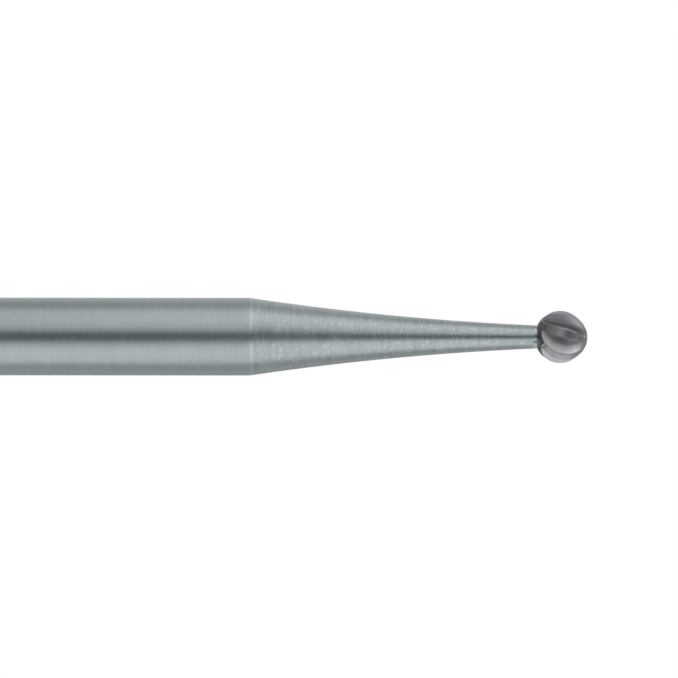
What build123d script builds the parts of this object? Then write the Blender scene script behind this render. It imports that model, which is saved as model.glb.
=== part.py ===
from build123d import *
import os
from math import cos, radians, sin, sqrt, tan

# A round-head drill bit, also called a round or ball bur, in millimetres.
# The bit lies along X with its head towards +X. The origin is the centre of the
# shank's rear end face, where the bit stops in a chuck or handpiece.

# Shank: the plain ground cylinder that the chuck grips
shank_diameter = 2.35
grip_length = 34.28
end_chamfer = 0.15

# Neck: a hollow taper from the shoulder down to the head
neck_length = 8.70
neck_end_diameter = 0.70
neck_hollow = 0.115
shoulder_round = 1.2

# Head: a ball, with one wheel-ground gullet in front of each tooth
head_diameter = 1.60
tooth_count = 6

# Rake face: a plane through the ball's tip, at the helix angle to the bit's axis.
# The first tooth's plane is turned by the lean about that axis.
helix_angle = 13.5
first_tooth_lean = 15.0

# Gullet root: a straight run that falls towards the tip, then one arc round to the tip
gullet_depth = 0.38
crest_behind_centre = 0.048
run_in_fall = 3.0
tip_web = 0.008

# Back of the next tooth: a shallow hollow that climbs from the root to its land
back_climb = 37.0
back_hollow = 0.05
root_round = 0.03

# Land: a cone ground behind the cutting edge, with a clearance angle to the ball
clearance_angle = 9.5
clearance_stock = 0.003
land_width = 0.35
clearance_starts_at = 30.0
clearance_ends_at = 160.0


def neck_end():
    return grip_length + neck_length


def ball_centre():
    """Distance along X at which the back of the ball is cut to the neck's width."""
    return neck_end() + sqrt((head_diameter / 2) ** 2 - (neck_end_diameter / 2) ** 2)


def make_shank():
    """Cylinder, rounded shoulder and hollow neck, turned from one bar."""
    shank_radius = shank_diameter / 2
    shoulder = (grip_length, shank_radius)
    neck_tip = (neck_end(), neck_end_diameter / 2)
    with BuildSketch(Plane.XY) as half_section:
        with BuildLine():
            Polyline((neck_end(), 0), (0, 0), (0, shank_radius - end_chamfer))
            Line((0, shank_radius - end_chamfer), (end_chamfer, shank_radius))
            Line((end_chamfer, shank_radius), shoulder)
            SagittaArc(shoulder, neck_tip, -neck_hollow)
            Line(neck_tip, (neck_end(), 0))
        make_face()
        shoulder_corner = half_section.vertices().sort_by_distance((*shoulder, 0))[0]
        fillet(shoulder_corner, radius=shoulder_round)
    return revolve(half_section.sketch, axis=Axis.X)


def make_ball():
    """Ball with a flat at the back, as wide as the neck's end that it meets."""
    ball = Pos(ball_centre(), 0, 0) * Sphere(head_diameter / 2)
    behind_joint = Pos(neck_end(), 0, 0) * Box(
        head_diameter,
        2 * head_diameter,
        2 * head_diameter,
        align=(Align.MAX, Align.CENTER, Align.CENTER),
    )
    return ball - behind_joint


def rake_plane():
    """Plane of the first rake face, at the foot of the ball centre's perpendicular.

    Its x direction points to the tip, its y direction out through the cutting
    edge, and its z direction into the gullet.
    """
    helix = radians(helix_angle)
    lean = radians(first_tooth_lean)
    to_land = Vector(sin(helix), -cos(helix) * sin(lean), cos(helix) * cos(lean))
    to_tip = Vector(cos(helix), sin(helix) * sin(lean), -sin(helix) * cos(lean))
    centre_to_plane = head_diameter / 2 * sin(helix)
    foot = Vector(ball_centre(), 0, 0) + to_land * centre_to_plane
    return Plane(origin=foot, x_dir=to_tip, z_dir=-to_land)


def root_arc():
    """Centre and radius, in the rake plane, of the arc that ends at the tip."""
    helix = radians(helix_angle)
    edge_radius = head_diameter / 2 * cos(helix)
    abreast_of_centre = head_diameter / 2 * sin(helix) * tan(helix)
    crest_height = sqrt(edge_radius**2 - abreast_of_centre**2) - gullet_depth
    reach = crest_behind_centre + edge_radius + tip_web
    radius = (reach**2 + crest_height**2) / (2 * crest_height)
    return Vector(-crest_behind_centre, crest_height - radius), radius


def make_gullet_cutter():
    """Space swept by the grinding wheel: its side cuts the rake, its rim the back."""
    plane = rake_plane()
    arc_centre, root_radius = root_arc()
    fall = radians(run_in_fall)
    arc_start = plane.x_dir * sin(fall) + plane.y_dir * cos(fall)
    towards_tip = plane.x_dir * cos(fall) - plane.y_dir * sin(fall)
    section_plane = Plane(
        origin=plane.from_local_coords(arc_centre),
        x_dir=arc_start,
        z_dir=towards_tip,
    )
    rim_width = head_diameter / 2
    rim_climb = rim_width * tan(radians(back_climb))
    root = (root_radius, 0)
    rim_middle = (root_radius + rim_climb / 2 - back_hollow, rim_width / 2)
    rim_end = (root_radius + rim_climb + back_hollow, rim_width)
    outside = root_radius + head_diameter
    with BuildSketch(section_plane) as wheel_section:
        with BuildLine():
            ThreePointArc(root, rim_middle, rim_end)
            Polyline(rim_end, (outside, rim_width), (outside, 0), root)
        make_face()
        root_corner = wheel_section.vertices().sort_by_distance((*root, 0))[0]
        fillet(root_corner, radius=root_round)
    run_in = extrude(wheel_section.sketch, amount=-2 * head_diameter)
    round_to_tip = revolve(
        wheel_section.sketch,
        axis=Axis(section_plane.origin, -plane.z_dir),
        revolution_arc=180,
    )
    return run_in + round_to_tip


def make_clearance_cutter():
    """Ring round the cone that is ground behind the first cutting edge."""
    plane = rake_plane()
    start = radians(clearance_starts_at)
    outwards = plane.x_dir * -cos(start) + plane.y_dir * sin(start)
    onwards = plane.x_dir * sin(start) + plane.y_dir * cos(start)
    section_plane = Plane(origin=plane.origin, x_dir=outwards, z_dir=-onwards)
    cone_radius = head_diameter / 2 * cos(radians(helix_angle)) - clearance_stock
    cone_slope = tan(radians(helix_angle + clearance_angle))
    in_gullet = -land_width / 4
    with BuildSketch(section_plane) as ring_section:
        with BuildLine():
            Polyline(
                (cone_radius - in_gullet * cone_slope, in_gullet),
                (cone_radius - land_width * cone_slope, land_width),
                (head_diameter, land_width),
                (head_diameter, in_gullet),
                close=True,
            )
        make_face()
    return revolve(
        ring_section.sketch,
        axis=Axis(plane.origin, -plane.z_dir),
        revolution_arc=clearance_ends_at - clearance_starts_at,
    )


def make_cutting_head():
    """Ball with its gullets cut first, then the clearance behind each edge."""
    head = make_ball()
    for cutter in (make_gullet_cutter(), make_clearance_cutter()):
        for tooth in range(tooth_count):
            head = head - cutter.rotate(Axis.X, tooth * 360 / tooth_count)
    return head


parts = {
    "shank": make_shank(),
    "cutting_head": make_cutting_head(),
}

os.makedirs("parts", exist_ok=True)
for name, solid in parts.items():
    export_step(solid, f"parts/{name}.step")
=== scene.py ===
from math import atan2, cos, hypot, pi, radians, sin, sqrt, tan

import bmesh
import bpy
from bpy.props import FloatProperty, FloatVectorProperty, IntProperty, PointerProperty
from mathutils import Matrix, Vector


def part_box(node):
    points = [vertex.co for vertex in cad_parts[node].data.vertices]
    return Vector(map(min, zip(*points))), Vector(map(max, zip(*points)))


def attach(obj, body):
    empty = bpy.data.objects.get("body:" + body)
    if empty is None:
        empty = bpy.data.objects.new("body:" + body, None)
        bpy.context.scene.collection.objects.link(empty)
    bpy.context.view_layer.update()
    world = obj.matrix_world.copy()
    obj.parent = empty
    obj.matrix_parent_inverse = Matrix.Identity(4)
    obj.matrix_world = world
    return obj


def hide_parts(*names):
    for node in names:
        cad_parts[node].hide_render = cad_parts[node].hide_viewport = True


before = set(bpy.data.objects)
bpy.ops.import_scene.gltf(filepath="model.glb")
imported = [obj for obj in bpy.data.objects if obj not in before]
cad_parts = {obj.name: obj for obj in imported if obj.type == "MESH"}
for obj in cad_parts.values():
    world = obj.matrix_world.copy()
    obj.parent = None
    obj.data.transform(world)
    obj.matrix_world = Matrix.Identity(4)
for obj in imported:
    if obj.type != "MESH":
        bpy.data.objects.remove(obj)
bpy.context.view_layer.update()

bl_info = {
    "name": "Round-head drill bit",
    "version": (1, 0, 0),
    "blender": (4, 5, 0),
    "location": "3D View > Sidebar > Drill bit",
    "description": "Models a straight-shank bit with a small toothed ball head",
    "category": "Add Mesh",
}

MM = 0.001
SHANK_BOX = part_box("shank")
NECK_END_X = SHANK_BOX[1][0]

# The photo's frame: its size in pixels, its scale, and the bit's axis and shoulder in it
PHOTO_SIDE_PX = 678
PHOTO_PX_PER_MM = 33.06
PHOTO_SHOULDER_PX = 249.6
PHOTO_AXIS_PX = 336.77

# Fall of the photo's axis to the right, in degrees
PHOTO_ROLL = 0.05


def length(name, description, default_mm):
    return FloatProperty(
        name=name,
        description=description,
        default=default_mm * MM,
        min=0.0,
        precision=5,
        unit="LENGTH",
    )


def angle(name, description, default_degrees):
    return FloatProperty(
        name=name,
        description=description,
        default=radians(default_degrees),
        subtype="ANGLE",
    )


def share(name, description, default):
    return FloatProperty(
        name=name,
        description=description,
        default=default,
        min=0.0,
        max=1.0,
        subtype="FACTOR",
    )


def brightness(name, description, default):
    return FloatProperty(name=name, description=description, default=default, min=0.0)


def colour(name, description, default):
    return FloatVectorProperty(
        name=name,
        description=description,
        default=default,
        size=3,
        min=0.0,
        max=1.0,
        subtype="COLOR",
    )


class ShankSettings(bpy.types.PropertyGroup):
    """Sizes and finish of the shank and its neck."""

    diameter: length("Shank diameter", "Diameter of the gripping cylinder", 2.35)
    grip_length: length("Grip length", "Rear end to the shoulder", 34.28)
    end_chamfer: length("End chamfer", "Chamfer round the rear end face", 0.15)
    end_edge_round: length("End edge round", "Softening of the chamfer's edges", 0.03)
    neck_end_diameter: length("Neck end", "Diameter of the neck where the head starts", 0.70)
    neck_hollow: length("Neck hollow", "Depth of the neck's hollow below a straight taper", 0.115)
    shoulder_round: length("Shoulder round", "Radius between grip and neck", 1.2)
    seam_round: length("Seam round", "Softening of the neck's edge at the head", 0.02)
    # Half width of the painted highlight rings at the shoulder and at the neck's end
    painted_highlight_width: length("Highlight width", "Half width of the brighter rings at the two corners", 0.06)
    rings: IntProperty(name="Segments", description="Segments round the axis", default=256, min=32)
    steel: colour("Steel", "Colour of the ground steel", (0.43, 0.485, 0.49))
    roughness: share("Roughness", "Roughness of the ground steel", 0.36)


class HeadSettings(bpy.types.PropertyGroup):
    """Sizes and finish of the toothed ball."""

    diameter: length("Head diameter", "Diameter over the teeth", 1.60)
    teeth: IntProperty(name="Teeth", description="Number of teeth", default=6, min=3, max=12)
    helix: angle("Helix", "Angle between a rake face and the bit's axis", 13.5)
    lean: angle("First tooth", "Turn of the first tooth about the axis", 15.0)
    gullet_depth: length("Gullet depth", "Depth abreast of the ball's centre", 0.38)
    crest_behind: length("Crest behind centre", "Where the wheel's path is highest", 0.048)
    run_in_fall: angle("Run-in fall", "Fall of the wheel's straight run towards the tip", 3.0)
    tip_web: length("Tip web", "Metal left between the gullets at the tip", 0.008)
    back_climb: angle("Back climb", "Climb of the gullet's floor to the next land", 37.0)
    back_hollow: length("Back hollow", "Hollow of the gullet's floor", 0.05)
    root_round: length("Root round", "Radius at the root of the gullet", 0.03)
    clearance: angle("Clearance", "Clearance of the land behind the cutting edge", 9.5)
    clearance_stock: length("Clearance stock", "Metal ground off the edge itself", 0.003)
    clearance_from: angle("Clearance start", "Turn from the rear at which it starts", 30.0)
    clearance_to: angle("Clearance end", "Turn from the rear at which it ends", 160.0)
    land_width: length("Land width", "Widest land that the clearance covers", 0.35)
    metal: colour("Hard metal", "Colour of the cutting head", (0.375, 0.38, 0.395))
    # The gullets' colour is lighter than the lands' only as painted light, for light their hollows do
    # not get
    gullet_painted_light_metal: colour("Gullet metal", "Colour of the coarser gullets", (0.50, 0.505, 0.52))
    land_roughness: share("Land roughness", "Roughness of the finely ground lands", 0.35)
    gullet_roughness: share("Gullet roughness", "Roughness of the ground gullets", 0.34)
    mesh_step: length("Mesh step", "Step of the even mesh that rounds the edges", 0.0128)
    edge_passes: IntProperty(name="Edge passes", description="Smoothing of the edges", default=2, min=0)


class StageSettings(bpy.types.PropertyGroup):
    """Floor, light tent and camera."""

    floor_drop: length("Floor drop", "Floor below the bit's axis", 15.0)
    floor_radius: length("Floor radius", "Radius of the pale floor", 120.0)
    tent_radius: length("Tent radius", "Radius of the light tent round the bit's axis", 300.0)
    tent_length: length("Tent length", "Length of the light tent", 1000.0)
    tent_rear_level: share("Tent rear", "Brightness of the end behind the shank", 0.10)
    tent_front_level: share("Tent front", "Brightness of the end before the tip", 0.30)
    camera_distance: length("Camera distance", "Camera to the bit's axis", 400.0)
    floor_colour: colour("Floor", "Pale floor", (0.8, 0.8, 0.8))
    gap_colour: colour("Gap", "Colour of the tent's dark gap at the camera", (0.35, 0.7, 1.0))
    panel_level: brightness("Panel level", "Extra light high up in front of the tip", 0.8)
    card_drop: length("Lower card drop", "Lower card below the bit's axis", 1.5)
    card_level: brightness("Lower card level", "Brightness of its lit rear half", 0.95)
    upper_card_level: brightness("Upper card level", "Brightness of the upper card", 3.4)


def start_new():
    """Leave edit mode and deselect everything, the fixed frame too."""
    if bpy.context.object and bpy.context.object.mode != "OBJECT":
        bpy.ops.object.mode_set(mode="OBJECT")
    bpy.ops.object.select_all(action="DESELECT")


def must_finish(result, step):
    """Stop with an error if a step of the modelling was cancelled."""
    if "FINISHED" not in result:
        raise RuntimeError(f"{step} did not finish")


def must_be_closed(piece):
    """Stop with an error if the piece is empty or its mesh has an open edge."""
    mesh = bmesh.new()
    mesh.from_mesh(piece.data)
    open_edges = sum(not edge.is_manifold for edge in mesh.edges)
    faces = len(mesh.faces)
    mesh.free()
    if not faces or open_edges:
        raise RuntimeError(f"{piece.name} has {faces} faces and {open_edges} open edges")


def name_piece(name):
    piece = bpy.context.object
    piece.name = name
    piece.data.name = name
    bpy.ops.object.transform_apply(location=True, rotation=True, scale=True)
    return piece


def start_outline(name, point):
    """New piece in edit mode that holds one selected vertex at the point."""
    start_new()
    bpy.ops.mesh.primitive_plane_add(size=MM, location=point)
    piece = name_piece(name)
    bpy.ops.object.mode_set(mode="EDIT")
    bpy.ops.mesh.select_all(action="SELECT")
    bpy.ops.mesh.merge(type="CENTER")
    return piece


def extrude_along(points):
    """Extrude the selected vertex from point to point; the first is where it stands."""
    for here, there in zip(points, points[1:]):
        bpy.ops.mesh.extrude_region_move(TRANSFORM_OT_translate={"value": there - here})


def select_faces(piece, wanted):
    """In edit mode, select the faces for which wanted(face) is true."""
    bpy.ops.mesh.select_mode(type="FACE")
    bpy.ops.mesh.select_all(action="DESELECT")
    mesh = bmesh.from_edit_mesh(piece.data)
    for face in mesh.faces:
        face.select_set(wanted(face))
    bmesh.update_edit_mesh(piece.data)


def select_vertices(piece, wanted):
    """In edit mode, select the vertices for which wanted(vertex) is true."""
    bpy.ops.mesh.select_mode(type="VERT")
    bpy.ops.mesh.select_all(action="DESELECT")
    mesh = bmesh.from_edit_mesh(piece.data)
    for vertex in mesh.verts:
        vertex.select_set(wanted(vertex))
    bmesh.update_edit_mesh(piece.data)


def close_and_face_out(merge_distance):
    """Merge doubles and turn every face outwards, in edit mode."""
    bpy.ops.mesh.select_mode(type="VERT")
    bpy.ops.mesh.select_all(action="SELECT")
    bpy.ops.mesh.remove_doubles(threshold=merge_distance)
    bpy.ops.mesh.normals_make_consistent(inside=False)


def smooth_by_angle(degrees_limit):
    bpy.ops.object.mode_set(mode="OBJECT")
    bpy.ops.object.shade_smooth_by_angle(angle=radians(degrees_limit))


def arc_points(centre, radius, start_angle, end_angle, steps):
    """Points (x, r) on an arc in the lathe plane, both ends included."""
    points = []
    for step in range(steps + 1):
        turn = start_angle + (end_angle - start_angle) * step / steps
        points.append((centre[0] + radius * cos(turn), centre[1] + radius * sin(turn)))
    return points


def neck_circle(shank):
    """Centre and radius of the hollow neck's arc, from its chord and its depth."""
    start = Vector((shank.grip_length, shank.diameter / 2))
    end = Vector((NECK_END_X, shank.neck_end_diameter / 2))
    chord = end - start
    radius = (chord.length_squared / 4 + shank.neck_hollow**2) / (2 * shank.neck_hollow)
    outwards = Vector((-chord.y, chord.x)).normalized()
    return (start + end) / 2 + outwards * (radius - shank.neck_hollow), radius


def shank_outline(shank):
    """Half section (x, r) of the turned shank, from the rear centre to the neck's end."""
    grip_radius = shank.diameter / 2
    soft = shank.end_edge_round
    chamfer = shank.end_chamfer
    points = [(0.0, 0.0), (0.0, grip_radius - chamfer - soft)]
    points += [(0.29 * soft, grip_radius - chamfer - 0.29 * soft)]
    points += [(soft, grip_radius - chamfer + 0.42 * soft)]
    points += [(chamfer - 0.42 * soft, grip_radius - soft)]
    points += [(chamfer + 0.29 * soft, grip_radius - 0.29 * soft)]
    points += [(chamfer + 1.3 * soft, grip_radius)]

    centre, radius = neck_circle(shank)
    fillet = shank.shoulder_round
    fillet_y = grip_radius - fillet
    fillet_x = centre.x - sqrt((radius + fillet) ** 2 - (centre.y - fillet_y) ** 2)
    to_neck = atan2(centre.y - fillet_y, centre.x - fillet_x)
    points += arc_points((fillet_x, fillet_y), fillet, pi / 2, to_neck, 10)

    neck_start = atan2(fillet_y - centre.y, fillet_x - centre.x)
    last_x = NECK_END_X - shank.seam_round
    neck_stop = -pi / 2 + (last_x - centre.x) / radius
    points += arc_points(centre, radius, neck_start, neck_stop, 64)[1:]

    seam_radius = shank.neck_end_diameter / 2
    points += [(NECK_END_X - 0.3 * shank.seam_round, seam_radius - 0.3 * shank.seam_round)]
    points += [(NECK_END_X, seam_radius - shank.seam_round), (NECK_END_X, 0.0)]
    return points


class DRILLBIT_OT_shank(bpy.types.Operator):
    """Turn the shank, shoulder and hollow neck on a lathe outline"""

    bl_idname = "drillbit.shank"
    bl_label = "Shank"

    def execute(self, context):
        shank = context.scene.drillbit_shank
        outline = [Vector((x, 0.0, r)) for x, r in shank_outline(shank)]
        piece = start_outline("shank_body", outline[0])
        extrude_along(outline)
        bpy.ops.mesh.select_all(action="SELECT")
        bpy.ops.mesh.spin(
            steps=shank.rings,
            angle=2 * pi,
            center=(0.0, 0.0, 0.0),
            axis=(1.0, 0.0, 0.0),
        )
        close_and_face_out(0.0005 * MM)
        smooth_by_angle(30)
        must_be_closed(piece)
        piece.data.materials.append(shank_steel(shank))
        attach(piece, "root")
        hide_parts("shank")
        return {"FINISHED"}


class RakeFrame:
    """The first tooth's rake plane and the wheel's path in it."""

    def __init__(self, head, neck_end_radius):
        ball_radius = head.diameter / 2
        centre_x = NECK_END_X + sqrt(ball_radius**2 - neck_end_radius**2)
        self.ball_radius = ball_radius
        self.ball_centre = Vector((centre_x, 0.0, 0.0))
        helix, lean = head.helix, head.lean
        self.to_land = Vector((sin(helix), -cos(helix) * sin(lean), cos(helix) * cos(lean)))
        self.to_tip = Vector((cos(helix), sin(helix) * sin(lean), -sin(helix) * cos(lean)))
        self.out = Vector((0.0, -cos(lean), -sin(lean)))
        foot = self.ball_centre + self.to_land * ball_radius * sin(helix)
        self.foot = foot

        edge_radius = ball_radius * cos(helix)
        self.edge_radius = edge_radius
        abreast_of_centre = ball_radius * sin(helix) * tan(helix)
        crest = sqrt(edge_radius**2 - abreast_of_centre**2) - head.gullet_depth
        reach = head.crest_behind + edge_radius + head.tip_web
        self.root_radius = (reach**2 + crest**2) / (2 * crest)
        self.path_centre = (
            foot - self.to_tip * head.crest_behind + self.out * (crest - self.root_radius)
        )
        fall = head.run_in_fall
        self.section_out = self.to_tip * sin(fall) + self.out * cos(fall)
        self.run_out = self.out * sin(fall) - self.to_tip * cos(fall)

    def section_point(self, radius, depth):
        """Point of the wheel's section: radius from the path's centre, depth in the gullet."""
        return self.path_centre + self.section_out * radius - self.to_land * depth


def circle_through(first, second, third):
    """Centre of the circle through three points of a plane."""
    ax, ay = first
    bx, by = second
    cx, cy = third
    twice_area = 2 * (ax * (by - cy) + bx * (cy - ay) + cx * (ay - by))
    a2, b2, c2 = ax * ax + ay * ay, bx * bx + by * by, cx * cx + cy * cy
    x = (a2 * (by - cy) + b2 * (cy - ay) + c2 * (ay - by)) / twice_area
    y = (a2 * (cx - bx) + b2 * (ax - cx) + c2 * (bx - ax)) / twice_area
    return x, y


def wheel_rim(head, rake):
    """Points (radius, depth) of the hollow gullet floor, from the root outwards."""
    width = head.diameter / 2
    climb = width * tan(head.back_climb)
    root = (rake.root_radius, 0.0)
    middle = (rake.root_radius + climb / 2 - head.back_hollow, width / 2)
    end = (rake.root_radius + climb + head.back_hollow, width)
    x, y = circle_through(root, middle, end)
    radius = hypot(root[0] - x, root[1] - y)
    start_angle = atan2(root[1] - y, root[0] - x)
    end_angle = atan2(end[1] - y, end[0] - x)
    if end_angle - start_angle > pi:
        end_angle -= 2 * pi
    if start_angle - end_angle > pi:
        end_angle += 2 * pi
    return arc_points((x, y), radius, start_angle, end_angle, 28)


def make_wheel(head, rake):
    """The space that the grinding wheel sweeps in cutting one gullet."""
    rim = wheel_rim(head, rake)
    outside = rake.root_radius + head.diameter
    section = rim + [(outside, rim[-1][1]), (outside, 0.0)]
    points = [rake.section_point(radius, depth) for radius, depth in section]
    wheel = start_outline("grinding_wheel", points[0])
    extrude_along(points)
    bpy.ops.mesh.select_all(action="SELECT")
    bpy.ops.mesh.edge_face_add()

    root = points[0]
    near = 0.001 * MM
    select_vertices(wheel, lambda vertex: (vertex.co - root).length < near)
    bpy.ops.mesh.bevel(
        offset_type="OFFSET",
        offset=head.root_round,
        segments=14,
        affect="VERTICES",
    )
    bpy.ops.mesh.select_all(action="SELECT")
    bpy.ops.mesh.spin(
        steps=110,
        angle=radians(165),
        center=rake.path_centre,
        axis=-rake.to_land,
    )
    section_normal = rake.run_out

    def on_section(face):
        return all(
            abs((vertex.co - rake.path_centre).dot(section_normal)) < near
            and (vertex.co - rake.path_centre).dot(rake.section_out) > 0
            for vertex in face.verts
        )

    select_faces(wheel, on_section)
    bpy.ops.mesh.extrude_region_move(
        TRANSFORM_OT_translate={"value": rake.run_out * 2 * head.diameter}
    )
    close_and_face_out(0.0002 * MM)
    bpy.ops.object.mode_set(mode="OBJECT")
    return wheel


def make_relief(head, rake):
    """Ring outside the cone that is ground behind one cutting edge."""
    cone_radius = rake.edge_radius - head.clearance_stock
    in_gullet = -head.land_width / 4
    cone_slope = tan(head.helix + head.clearance)
    start = head.clearance_from
    outwards = rake.out * sin(start) - rake.to_tip * cos(start)
    section = (
        (cone_radius - in_gullet * cone_slope, in_gullet),
        (cone_radius - head.land_width * cone_slope, head.land_width),
        (head.diameter, head.land_width),
        (head.diameter, in_gullet),
    )
    points = [rake.foot + outwards * radius + rake.to_land * side for radius, side in section]
    relief = start_outline("relief_wheel", points[0])
    extrude_along(points)
    bpy.ops.mesh.select_all(action="SELECT")
    bpy.ops.mesh.edge_face_add()
    bpy.ops.mesh.spin(
        steps=130,
        angle=head.clearance_to - head.clearance_from,
        center=rake.foot,
        axis=-rake.to_land,
    )
    close_and_face_out(0.0002 * MM)
    bpy.ops.object.mode_set(mode="OBJECT")
    return relief


def pick(piece):
    """Make the piece the active one and the only one selected."""
    start_new()
    bpy.context.view_layer.objects.active = piece
    piece.select_set(True)


def turn_about_axis(piece, turn):
    """Turn a piece's mesh about the bit's axis."""
    pick(piece)
    bpy.ops.object.mode_set(mode="EDIT")
    bpy.ops.mesh.select_all(action="SELECT")
    bpy.ops.transform.rotate(value=turn, orient_axis="X", center_override=(0.0, 0.0, 0.0))
    bpy.ops.object.mode_set(mode="OBJECT")


def cut_away(piece, cutter):
    """Take the cutter's volume out of the piece."""
    pick(piece)
    cut = piece.modifiers.new("cut", "BOOLEAN")
    cut.operation = "DIFFERENCE"
    cut.solver = "EXACT"
    cut.object = cutter
    must_finish(bpy.ops.object.modifier_apply(modifier=cut.name), "Cut")


def resize_piece(factor):
    """Resize the active piece's mesh about the world's origin."""
    bpy.ops.object.mode_set(mode="EDIT")
    bpy.ops.mesh.select_all(action="SELECT")
    bpy.ops.transform.resize(value=(factor, factor, factor), center_override=(0.0, 0.0, 0.0))
    bpy.ops.object.mode_set(mode="OBJECT")


def soften_edges(ball, head):
    """Fine even mesh, smoothed so that every ground edge is a little round.

    The remesh takes no step under a tenth of a millimetre, so it works in metres
    for millimetres.
    """
    resize_piece(1 / MM)
    even = ball.modifiers.new("even_mesh", "REMESH")
    even.mode = "VOXEL"
    even.voxel_size = head.mesh_step / MM
    must_finish(bpy.ops.object.modifier_apply(modifier=even.name), "Even mesh")
    smooth = ball.modifiers.new("round_edges", "SMOOTH")
    smooth.factor = 0.5
    smooth.iterations = head.edge_passes
    must_finish(bpy.ops.object.modifier_apply(modifier=smooth.name), "Edge rounding")
    resize_piece(MM)
    bpy.ops.object.shade_smooth()


class DRILLBIT_OT_head(bpy.types.Operator):
    """Make the ball and cut one gullet in front of each tooth"""

    bl_idname = "drillbit.head"
    bl_label = "Cutting head"

    def execute(self, context):
        head = context.scene.drillbit_head
        shank = context.scene.drillbit_shank
        rake = RakeFrame(head, shank.neck_end_diameter / 2)
        wheel = make_wheel(head, rake)

        start_new()
        bpy.ops.mesh.primitive_ico_sphere_add(
            subdivisions=7,
            radius=rake.ball_radius,
            location=rake.ball_centre,
        )
        ball = name_piece("cutting_head_ball")
        bpy.ops.object.mode_set(mode="EDIT")
        bpy.ops.mesh.select_all(action="SELECT")
        bpy.ops.mesh.bisect(
            plane_co=(NECK_END_X, 0.0, 0.0),
            plane_no=(1.0, 0.0, 0.0),
            use_fill=True,
            clear_inner=True,
            threshold=1e-8,
        )
        bpy.ops.object.mode_set(mode="OBJECT")

        relief = make_relief(head, rake)
        for cutter in (wheel, relief):
            for _ in range(head.teeth):
                cut_away(ball, cutter)
                turn_about_axis(cutter, 2 * pi / head.teeth)
            pick(cutter)
            bpy.ops.object.delete()

        pick(ball)
        bpy.ops.object.mode_set(mode="EDIT")
        close_and_face_out(0.00005 * MM)
        bpy.ops.object.mode_set(mode="OBJECT")
        soften_edges(ball, head)
        must_be_closed(ball)
        ball.data.materials.clear()
        ball.data.materials.append(head_metal(head, rake))
        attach(ball, "root")
        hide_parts("cutting_head")
        return {"FINISHED"}


def new_material(name):
    """Material with a Principled shader, and its nodes."""
    material = bpy.data.materials.new(name)
    material.use_nodes = True
    nodes = material.node_tree.nodes
    return material, nodes, material.node_tree.links, nodes["Principled BSDF"]


def add_node(nodes, kind, **settings):
    node = nodes.new(kind)
    for key, value in settings.items():
        setattr(node, key, value)
    return node


def math_node(tree, operation, first, second=None):
    """Math node whose inputs are sockets or numbers; returns its output."""
    node = add_node(tree.nodes, "ShaderNodeMath", operation=operation)
    for index, value in enumerate((first, second)):
        if value is None:
            continue
        if isinstance(value, (int, float)):
            node.inputs[index].default_value = value
        else:
            tree.links.new(value, node.inputs[index])
    return node.outputs[0]


def ground_finish_group():
    """Fine grinding rings and soft mottling, as masks and a normal."""
    name = "Ground finish"
    if name in bpy.data.node_groups:
        return bpy.data.node_groups[name]
    group = bpy.data.node_groups.new(name, "ShaderNodeTree")
    interface = group.interface
    for label, default in (
        ("Ring Scale", 9.0),
        ("Ring Stretch", 0.18),
        ("Mottle Scale", 1.6),
        ("Bump Height", 0.0006),
    ):
        socket = interface.new_socket(label, in_out="INPUT", socket_type="NodeSocketFloat")
        socket.default_value = default
    interface.new_socket("Rings", in_out="OUTPUT", socket_type="NodeSocketFloat")
    interface.new_socket("Mottle", in_out="OUTPUT", socket_type="NodeSocketFloat")
    interface.new_socket("Normal", in_out="OUTPUT", socket_type="NodeSocketVector")

    nodes, links = group.nodes, group.links
    inside = nodes.new("NodeGroupInput")
    outside = nodes.new("NodeGroupOutput")
    place = nodes.new("ShaderNodeTexCoord")
    to_mm = add_node(nodes, "ShaderNodeVectorMath", operation="SCALE")
    to_mm.inputs["Scale"].default_value = 1 / MM
    links.new(place.outputs["Object"], to_mm.inputs[0])

    stretch = nodes.new("ShaderNodeCombineXYZ")
    stretch.inputs["X"].default_value = 1.0
    links.new(inside.outputs["Ring Stretch"], stretch.inputs["Y"])
    links.new(inside.outputs["Ring Stretch"], stretch.inputs["Z"])
    squeezed = add_node(nodes, "ShaderNodeVectorMath", operation="MULTIPLY")
    links.new(to_mm.outputs[0], squeezed.inputs[0])
    links.new(stretch.outputs[0], squeezed.inputs[1])

    rings = nodes.new("ShaderNodeTexNoise")
    rings.inputs["Detail"].default_value = 3.0
    rings.inputs["Roughness"].default_value = 0.65
    links.new(squeezed.outputs[0], rings.inputs["Vector"])
    links.new(inside.outputs["Ring Scale"], rings.inputs["Scale"])

    mottle = nodes.new("ShaderNodeTexNoise")
    mottle.inputs["Detail"].default_value = 4.0
    mottle.inputs["Roughness"].default_value = 0.6
    links.new(to_mm.outputs[0], mottle.inputs["Vector"])
    links.new(inside.outputs["Mottle Scale"], mottle.inputs["Scale"])

    bump = nodes.new("ShaderNodeBump")
    bump.inputs["Distance"].default_value = MM
    height = math_node(group, "MULTIPLY", rings.outputs["Fac"], inside.outputs["Bump Height"])
    links.new(height, bump.inputs["Height"])

    links.new(rings.outputs["Fac"], outside.inputs["Rings"])
    links.new(mottle.outputs["Fac"], outside.inputs["Mottle"])
    links.new(bump.outputs["Normal"], outside.inputs["Normal"])
    return group


def tinted(tree, colour_value, mask, low, high):
    """Colour times a brightness that runs from low to high with the mask."""
    level = add_node(tree.nodes, "ShaderNodeMapRange")
    level.inputs["From Min"].default_value = 0.3
    level.inputs["From Max"].default_value = 0.7
    level.inputs["To Min"].default_value = low
    level.inputs["To Max"].default_value = high
    tree.links.new(mask, level.inputs["Value"])
    mix = add_node(tree.nodes, "ShaderNodeVectorMath", operation="SCALE")
    if isinstance(colour_value, bpy.types.NodeSocket):
        tree.links.new(colour_value, mix.inputs[0])
    else:
        mix.inputs[0].default_value = colour_value
    tree.links.new(level.outputs[0], mix.inputs["Scale"])
    return mix.outputs[0]


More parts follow.
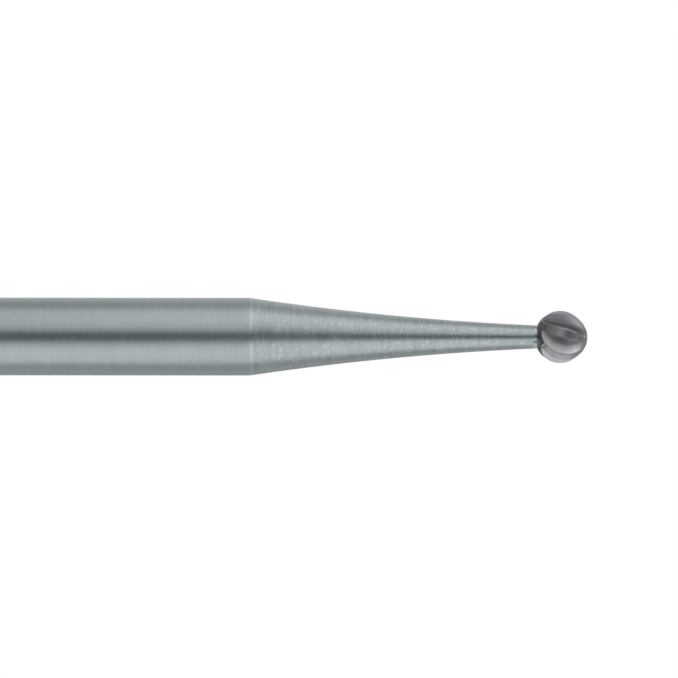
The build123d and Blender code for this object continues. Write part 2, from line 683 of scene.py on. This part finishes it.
def band(tree, along, middle, half_width):
    """Mask that is 1 at the middle and falls to 0 at half a width to each side."""
    away = math_node(tree, "ABSOLUTE", math_node(tree, "SUBTRACT", along, middle))
    return ramp(tree, away, 0.3 * half_width, half_width, 1.0, 0.0)


def shank_steel(shank):
    """Steel with fine rings, stronger on the neck, and a painted highlight at its two corners: a ring
    of lighter colour with a little less roughness.
    """
    material, nodes, links, shader = new_material("shank_steel")
    tree = material.node_tree
    place = nodes.new("ShaderNodeTexCoord")
    axes = nodes.new("ShaderNodeSeparateXYZ")
    links.new(place.outputs["Object"], axes.inputs[0])
    along = axes.outputs["X"]
    # Painted highlight: rings of lighter colour at the shoulder and at the neck's end
    shoulder = band(tree, along, shank.grip_length + 0.06 * MM, shank.painted_highlight_width)
    seam = band(tree, along, NECK_END_X - 0.03 * MM, shank.painted_highlight_width)
    painted_corner_highlight = math_node(tree, "MAXIMUM", shoulder, seam)
    on_neck = ramp(tree, along, shank.grip_length, shank.grip_length + 0.2 * MM, 0.0, 1.0)
    finish = add_node(nodes, "ShaderNodeGroup", node_tree=ground_finish_group())
    finish.inputs["Ring Scale"].default_value = 9.0
    finish.inputs["Ring Stretch"].default_value = 0.18
    finish.inputs["Bump Height"].default_value = 0.0008
    steel = tuple(shank.steel)
    shank_rings = tinted(tree, steel, finish.outputs["Rings"], 0.95, 1.05)
    neck_rings = tinted(tree, steel, finish.outputs["Rings"], 0.88, 1.12)
    rings = add_node(nodes, "ShaderNodeMix", data_type="RGBA")
    links.new(on_neck, rings.inputs["Factor"])
    links.new(shank_rings, rings.inputs["A"])
    links.new(neck_rings, rings.inputs["B"])
    flecks = add_node(nodes, "ShaderNodeTexNoise")
    flecks.inputs["Scale"].default_value = 14.0
    flecks.inputs["Detail"].default_value = 0.0
    to_mm = add_node(nodes, "ShaderNodeVectorMath", operation="SCALE")
    to_mm.inputs["Scale"].default_value = 1 / MM
    links.new(place.outputs["Object"], to_mm.inputs[0])
    links.new(to_mm.outputs[0], flecks.inputs["Vector"])
    bright = ramp(tree, flecks.outputs["Fac"], 0.62, 0.74, 0.0, 0.22)
    fleck = math_node(tree, "MULTIPLY", bright, on_neck)
    # Random bright flecks on the neck, and the painted highlight rings at the corners
    flecks_and_painted_highlight = math_node(tree, "MAXIMUM", fleck, math_node(tree, "MULTIPLY", painted_corner_highlight, 0.17))
    lifted = add_node(nodes, "ShaderNodeVectorMath", operation="SCALE")
    links.new(rings.outputs["Result"], lifted.inputs[0])
    links.new(math_node(tree, "ADD", flecks_and_painted_highlight, 1.0), lifted.inputs["Scale"])
    mottled = tinted(tree, lifted.outputs[0], finish.outputs["Mottle"], 0.97, 1.03)
    links.new(mottled, shader.inputs["Base Color"])
    ringed_rough = math_node(tree, "MULTIPLY_ADD", finish.outputs["Rings"], 0.12)
    ringed_rough.node.inputs[2].default_value = shank.roughness - 0.06
    rough = math_node(tree, "SUBTRACT", ringed_rough, math_node(tree, "MULTIPLY", painted_corner_highlight, 0.05))
    links.new(rough, shader.inputs["Roughness"])
    links.new(finish.outputs["Normal"], shader.inputs["Normal"])
    shader.inputs["Metallic"].default_value = 1.0
    return material


def head_metal(head, rake):
    """Hard metal: finely ground where it is near the ball's surface, coarser in the gullets, whose
    lighter colour is painted light.
    """
    material, nodes, links, shader = new_material("head_metal")
    tree = material.node_tree
    finish = add_node(nodes, "ShaderNodeGroup", node_tree=ground_finish_group())
    finish.inputs["Ring Scale"].default_value = 12.0
    finish.inputs["Ring Stretch"].default_value = 0.3
    finish.inputs["Bump Height"].default_value = 0.0005
    place = nodes.new("ShaderNodeTexCoord")
    reach = add_node(nodes, "ShaderNodeVectorMath", operation="DISTANCE")
    links.new(place.outputs["Object"], reach.inputs[0])
    reach.inputs[1].default_value = rake.ball_centre
    land = add_node(nodes, "ShaderNodeMapRange")
    land.inputs["From Min"].default_value = rake.ball_radius - 0.024 * MM
    land.inputs["From Max"].default_value = rake.ball_radius - 0.018 * MM
    links.new(reach.outputs["Value"], land.inputs["Value"])
    # Painted light: the gullets get a lighter copy of the metal, the lands keep its own colour
    metal = add_node(nodes, "ShaderNodeMix", data_type="RGBA")
    links.new(land.outputs[0], metal.inputs["Factor"])
    metal.inputs["A"].default_value = (*head.gullet_painted_light_metal, 1.0)
    metal.inputs["B"].default_value = (*head.metal, 1.0)
    ringed = tinted(tree, metal.outputs["Result"], finish.outputs["Rings"], 0.95, 1.05)
    links.new(ringed, shader.inputs["Base Color"])
    coarse = add_node(nodes, "ShaderNodeMapRange")
    coarse.inputs["To Min"].default_value = head.gullet_roughness
    coarse.inputs["To Max"].default_value = head.land_roughness
    links.new(land.outputs[0], coarse.inputs["Value"])
    wave = math_node(tree, "MULTIPLY_ADD", finish.outputs["Rings"], 0.10)
    wave.node.inputs[2].default_value = -0.05
    rough = math_node(tree, "ADD", coarse.outputs[0], wave)
    links.new(rough, shader.inputs["Roughness"])
    links.new(finish.outputs["Normal"], shader.inputs["Normal"])
    shader.inputs["Metallic"].default_value = 1.0
    return material


# Brightness of the light tent by angle: 0 faces the camera, plus is above, minus below
TENT_LEVELS = (
    (-180, 0.40), (-150, 0.48), (-128, 0.56), (-118, 0.48), (-103, 0.46), (-92, 0.34),
    (-84, 0.96), (-60, 1.02), (-24, 1.04), (-16, 0.60), (-11, 0.05), (11, 0.05),
    (15, 0.36), (19, 0.90), (27, 1.00), (60, 1.06), (80, 0.98), (88, 0.80),
    (95, 0.50), (104, 0.48), (125, 0.60), (148, 0.76), (180, 0.50),
)


def ramp(tree, value, start, end, low, high):
    """Map Range node: low up to the start, high from the end on."""
    node = tree.nodes.new("ShaderNodeMapRange")
    node.inputs["From Min"].default_value = start
    node.inputs["From Max"].default_value = end
    node.inputs["To Min"].default_value = low
    node.inputs["To Max"].default_value = high
    tree.links.new(value, node.inputs["Value"])
    return node.outputs["Result"]


def tent_material(stage):
    """Emission whose level follows the angle round the bit's axis."""
    material = bpy.data.materials.new("light_tent")
    material.use_nodes = True
    tree = material.node_tree
    nodes, links = tree.nodes, tree.links
    nodes.clear()
    output = nodes.new("ShaderNodeOutputMaterial")
    emission = nodes.new("ShaderNodeEmission")
    place = nodes.new("ShaderNodeTexCoord")
    axes = nodes.new("ShaderNodeSeparateXYZ")
    links.new(place.outputs["Object"], axes.inputs[0])
    towards_camera = math_node(tree, "MULTIPLY", axes.outputs["Y"], -1.0)
    turn = math_node(tree, "ARCTAN2", axes.outputs["Z"], towards_camera)

    whole_turn = math_node(tree, "DIVIDE", turn, 2 * pi)
    position = math_node(tree, "ADD", whole_turn, 0.5)

    curve = nodes.new("ShaderNodeFloatCurve")
    links.new(position, curve.inputs["Value"])
    points = curve.mapping.curves[0].points
    ends = {0: TENT_LEVELS[0], 1: TENT_LEVELS[-1]}
    for index, (degrees_turn, level) in ends.items():
        points[index].location = (degrees_turn / 360 + 0.5, level)
    for degrees_turn, level in TENT_LEVELS[1:-1]:
        points.new(degrees_turn / 360 + 0.5, level)
    curve.mapping.clip_max_y = 2.0
    curve.mapping.update()

    # Stray light fills the gap towards the tip, and the floor is lit behind the bit
    stray = ramp(tree, axes.outputs["X"], 0.035, 0.10, 0.0, 0.16)
    filled = math_node(tree, "MAXIMUM", curve.outputs[0], stray)
    behind = ramp(tree, axes.outputs["X"], -0.08, 0.0, 0.84, 0.0)
    under = ramp(tree, axes.outputs["Z"], -0.25, -0.10, 1.0, 0.0)
    floor_light = math_node(tree, "MULTIPLY", behind, under)
    lit = math_node(tree, "MAXIMUM", filled, floor_light)

    # The walls and the roof fade to the rear, and the floor side only much later
    low = math_node(tree, "ADD", axes.outputs["Z"], 0.15)
    below = math_node(tree, "MINIMUM", low, 0.0)
    reach = math_node(tree, "MULTIPLY_ADD", below, -3.6)
    links.new(axes.outputs["X"], reach.node.inputs[2])
    along = ramp(tree, reach, -0.07, 0.015, 0.33, 1.0)
    faded = math_node(tree, "MULTIPLY", lit, along)

    # Ahead of the tip the gap opens further up, with a softer edge
    ahead = ramp(tree, axes.outputs["X"], 0.125, 0.145, 0.0, 1.0)
    limit_above = ramp(tree, turn, radians(26), radians(41), 0.11, 0.84)
    limit_below = ramp(tree, turn, radians(-16), radians(-6), 1.2, 0.11)
    limit = math_node(tree, "MAXIMUM", limit_above, limit_below)
    limited = math_node(tree, "MINIMUM", faded, limit)
    change = math_node(tree, "SUBTRACT", limited, faded)
    opened = math_node(tree, "MULTIPLY", change, ahead)
    walls = math_node(tree, "ADD", faded, opened)

    # Bright panel high up in front of the tip
    panel_start = ramp(tree, turn, radians(58), radians(64), 0.0, 1.0)
    panel_end = ramp(tree, turn, radians(74), radians(86), 1.0, 0.0)
    panel_reach = ramp(tree, axes.outputs["X"], 0.125, 0.22, 0.0, stage.panel_level)
    panel_height = math_node(tree, "MULTIPLY", panel_start, panel_end)
    panel = math_node(tree, "MULTIPLY", panel_height, panel_reach)
    level = math_node(tree, "ADD", walls, panel)
    links.new(level, emission.inputs["Strength"])
    tint = add_node(nodes, "ShaderNodeMix", data_type="RGBA")
    links.new(ramp(tree, filled, 0.05, 0.32, 0.0, 1.0), tint.inputs["Factor"])
    tint.inputs["A"].default_value = (*stage.gap_colour, 1.0)
    tint.inputs["B"].default_value = (1.0, 1.0, 1.0, 1.0)
    links.new(tint.outputs["Result"], emission.inputs["Color"])
    links.new(emission.outputs[0], output.inputs["Surface"])
    return material


def plain_emission(name, level):
    material = bpy.data.materials.new(name)
    material.use_nodes = True
    nodes, links = material.node_tree.nodes, material.node_tree.links
    nodes.clear()
    output = nodes.new("ShaderNodeOutputMaterial")
    emission = nodes.new("ShaderNodeEmission")
    emission.inputs["Strength"].default_value = level
    links.new(emission.outputs[0], output.inputs["Surface"])
    return material


def hide_from_camera(piece):
    piece.visible_camera = False


def make_tent(stage):
    """Round light tent about the bit's axis, with two darker ends, out of sight."""
    start_new()
    bpy.ops.mesh.primitive_cylinder_add(
        vertices=96,
        radius=stage.tent_radius,
        depth=stage.tent_length,
        end_fill_type="NGON",
        location=(NECK_END_X, 0.0, 0.0),
        rotation=(0.0, pi / 2, 0.0),
    )
    tent = name_piece("light_tent")
    tent.data.materials.append(tent_material(stage))
    tent.data.materials.append(plain_emission("light_tent_rear", stage.tent_rear_level))
    tent.data.materials.append(plain_emission("light_tent_front", stage.tent_front_level))
    for face in tent.data.polygons:
        if abs(face.normal.x) > 0.5:
            face.material_index = 1 if face.center.x < NECK_END_X else 2
    smooth_by_angle(30)
    hide_from_camera(tent)


def seen_rays(tree):
    """Mask of the rays from the camera, from gloss and through glass."""
    rays = tree.nodes.new("ShaderNodeLightPath")
    direct = rays.outputs["Is Camera Ray"]
    shown = math_node(tree, "MAXIMUM", direct, rays.outputs["Is Glossy Ray"])
    return math_node(tree, "MAXIMUM", shown, rays.outputs["Is Transmission Ray"])


def floor_material(stage):
    """Pale matt floor; camera rays see it a little lit, so that it meets the backdrop."""
    material, nodes, links, shader = new_material("floor")
    shader.inputs["Base Color"].default_value = (*stage.floor_colour, 1.0)
    shader.inputs["Roughness"].default_value = 0.9
    shader.inputs["Specular IOR Level"].default_value = 0.0
    tree = material.node_tree
    lift = math_node(tree, "MULTIPLY", seen_rays(tree), 0.32)
    shader.inputs["Emission Color"].default_value = (1.0, 1.0, 1.0, 1.0)
    links.new(lift, shader.inputs["Emission Strength"])
    return material


def make_floor(stage):
    start_new()
    bpy.ops.mesh.primitive_circle_add(
        vertices=128,
        radius=stage.floor_radius,
        fill_type="NGON",
        location=(NECK_END_X / 2, 0.0, -stage.floor_drop),
    )
    floor = name_piece("floor")
    floor.data.materials.append(floor_material(stage))
    floor.visible_glossy = False


def make_backdrop():
    """White world for what the camera, gloss and glass see beyond the tent."""
    world = bpy.data.worlds.new("white_backdrop")
    bpy.context.scene.world = world
    world.use_nodes = True
    tree = world.node_tree
    background = tree.nodes["Background"]
    background.inputs["Color"].default_value = (1.0, 1.0, 1.0, 1.0)
    lit = math_node(tree, "MULTIPLY_ADD", seen_rays(tree), 0.4)
    lit.node.inputs[2].default_value = 0.6
    tree.links.new(lit, background.inputs["Strength"])


def make_camera(stage, shank):
    """Long lens at the height of the bit, framed as the photo is."""
    frame_width = PHOTO_SIDE_PX / PHOTO_PX_PER_MM * MM
    middle = PHOTO_SIDE_PX / 2
    centre_x = shank.grip_length + (middle - PHOTO_SHOULDER_PX) / PHOTO_PX_PER_MM * MM
    centre_z = (PHOTO_AXIS_PX - middle) / PHOTO_PX_PER_MM * MM
    start_new()
    bpy.ops.object.camera_add(
        location=(centre_x, -stage.camera_distance, centre_z),
        rotation=(pi / 2, -radians(PHOTO_ROLL), 0.0),
    )
    camera = bpy.context.object
    camera.name = "photo_camera"
    camera.data.sensor_fit = "HORIZONTAL"
    camera.data.lens = camera.data.sensor_width * stage.camera_distance / frame_width
    camera.data.clip_start = 10 * MM
    camera.data.clip_end = 10.0
    bpy.context.scene.camera = camera


def card_material(name):
    """Emission that fades to clear; returns its tree, place, strength and mask sockets."""
    material = bpy.data.materials.new(name)
    material.use_nodes = True
    tree = material.node_tree
    nodes, links = tree.nodes, tree.links
    nodes.clear()
    output = nodes.new("ShaderNodeOutputMaterial")
    emission = nodes.new("ShaderNodeEmission")
    clear = nodes.new("ShaderNodeBsdfTransparent")
    mix = nodes.new("ShaderNodeMixShader")
    place = nodes.new("ShaderNodeTexCoord")
    axes = nodes.new("ShaderNodeSeparateXYZ")
    links.new(place.outputs["Object"], axes.inputs[0])
    links.new(clear.outputs[0], mix.inputs[1])
    links.new(emission.outputs[0], mix.inputs[2])
    links.new(mix.outputs[0], output.inputs["Surface"])
    return material, axes, emission.inputs["Strength"], mix.inputs[0]


def finish_card(name, material):
    """Name the new card, give it its material and hide it from the camera."""
    card = name_piece(name)
    card.data.materials.append(material)
    hide_from_camera(card)


def make_lower_card(stage):
    """Small card under the head, lit at the back and black in front, out of sight."""
    start_new()
    bpy.ops.mesh.primitive_plane_add(
        size=4 * MM,
        location=(NECK_END_X + 1.2 * MM, 0.0, -stage.card_drop),
    )
    material, axes, strength, mask = card_material("lower_card")
    tree = material.node_tree
    rise = ramp(tree, axes.outputs["X"], NECK_END_X, NECK_END_X + 0.3 * MM, 0.0, 1.0)
    fall = ramp(tree, axes.outputs["X"], NECK_END_X + 1.2 * MM, NECK_END_X + 1.8 * MM, 1.0, 0.0)
    tree.links.new(math_node(tree, "MULTIPLY", rise, fall), mask)
    lit = ramp(tree, axes.outputs["Y"], -1.1 * MM, -0.9 * MM, 0.0, stage.card_level)
    tree.links.new(lit, strength)
    finish_card("lower_card", material)


def make_upper_card(stage):
    """Small tilted card close above the tip, which lights the upper rake face."""
    start_new()
    bpy.ops.mesh.primitive_plane_add(
        size=MM,
        location=(NECK_END_X + 2.6 * MM, -1.17 * MM, 1.53 * MM),
        rotation=(radians(50), 0.0, 0.0),
    )
    bpy.ops.transform.resize(value=(3.6, 0.65, 0.65))
    material, axes, strength, mask = card_material("upper_card")
    tree = material.node_tree
    shown_from = NECK_END_X + 1.0 * MM
    shown_full = NECK_END_X + 2.15 * MM
    tree.links.new(ramp(tree, axes.outputs["X"], shown_from, shown_full, 0.0, 1.0), mask)
    strength.default_value = stage.upper_card_level
    finish_card("upper_card", material)


class DRILLBIT_OT_stage(bpy.types.Operator):
    """Set the pale floor, the light tent, the white backdrop and the camera"""

    bl_idname = "drillbit.stage"
    bl_label = "Stage"

    def execute(self, context):
        stage = context.scene.drillbit_stage
        make_backdrop()
        make_tent(stage)
        make_floor(stage)
        make_lower_card(stage)
        make_upper_card(stage)
        make_camera(stage, context.scene.drillbit_shank)
        context.scene.view_settings.view_transform = "Standard"
        if context.scene.camera is None or context.scene.world is None:
            raise RuntimeError("The stage has no camera or no backdrop")
        return {"FINISHED"}


class DRILLBIT_PT_panel(bpy.types.Panel):
    """Sizes, finishes and steps of the drill bit"""

    bl_idname = "DRILLBIT_PT_panel"
    bl_label = "Drill bit"
    bl_space_type = "VIEW_3D"
    bl_region_type = "UI"
    bl_category = "Drill bit"

    def draw(self, context):
        scene = context.scene
        for settings, operator in (
            (scene.drillbit_shank, "drillbit.shank"),
            (scene.drillbit_head, "drillbit.head"),
            (scene.drillbit_stage, "drillbit.stage"),
        ):
            box = self.layout.box()
            for name in settings.__annotations__:
                box.prop(settings, name)
            box.operator(operator)


CLASSES = (
    ShankSettings,
    HeadSettings,
    StageSettings,
    DRILLBIT_OT_shank,
    DRILLBIT_OT_head,
    DRILLBIT_OT_stage,
    DRILLBIT_PT_panel,
)


def register():
    for cls in CLASSES:
        bpy.utils.register_class(cls)
    bpy.types.Scene.drillbit_shank = PointerProperty(type=ShankSettings)
    bpy.types.Scene.drillbit_head = PointerProperty(type=HeadSettings)
    bpy.types.Scene.drillbit_stage = PointerProperty(type=StageSettings)


def unregister():
    del bpy.types.Scene.drillbit_stage
    del bpy.types.Scene.drillbit_head
    del bpy.types.Scene.drillbit_shank
    for cls in reversed(CLASSES):
        bpy.utils.unregister_class(cls)


def main():
    register()
    bpy.ops.drillbit.stage()
    bpy.ops.drillbit.shank()
    bpy.ops.drillbit.head()
    start_new()


if __name__ == "__main__":
    main()
